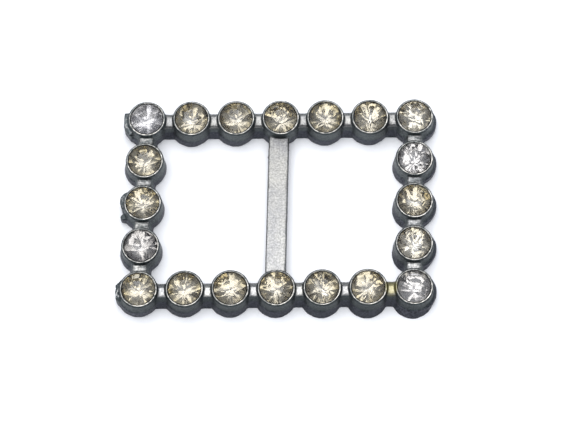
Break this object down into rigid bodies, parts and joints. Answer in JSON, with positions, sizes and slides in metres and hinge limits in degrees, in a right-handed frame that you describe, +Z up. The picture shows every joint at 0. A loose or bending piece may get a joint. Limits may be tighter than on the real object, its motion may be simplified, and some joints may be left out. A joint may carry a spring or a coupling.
{
  "type": "rhinestone belt buckle",
  "caption": "Rectangular cast metal slide buckle with a ring of round cups set with foil-backed cut glass stones and a flat centre bar for the belt.",
  "frame": {"origin": "middle of the rectangle of stones, on the plane of the back that the buckle lies on", "axes": "+X along the long side, +Y across towards the far row, +Z up out of the face"},
  "size_m": [0.0473, 0.0334, 0.0042],
  "materials": {
    "pot_metal": "cast grey pot metal, rubbed bright on its rims, rails and bar, dull and dark on its walls",
    "champagne_glass": "cut and polished glass over aged, yellowed foil",
    "clear_glass": "cut and polished glass over bright foil"
  },
  "bodies": {
    "root": {"casting": "pot_metal", "stone_01": "clear_glass", "stone_02": "champagne_glass", "stone_03": "champagne_glass", "stone_04": "champagne_glass", "stone_05": "champagne_glass", "stone_06": "champagne_glass", "stone_07": "champagne_glass", "stone_08": "clear_glass", "stone_09": "champagne_glass", "stone_10": "champagne_glass", "stone_11": "clear_glass", "stone_12": "champagne_glass", "stone_13": "champagne_glass", "stone_14": "champagne_glass", "stone_15": "champagne_glass", "stone_16": "champagne_glass", "stone_17": "champagne_glass", "stone_18": "clear_glass", "stone_19": "champagne_glass", "stone_20": "champagne_glass"}
  },
  "joints": []
}
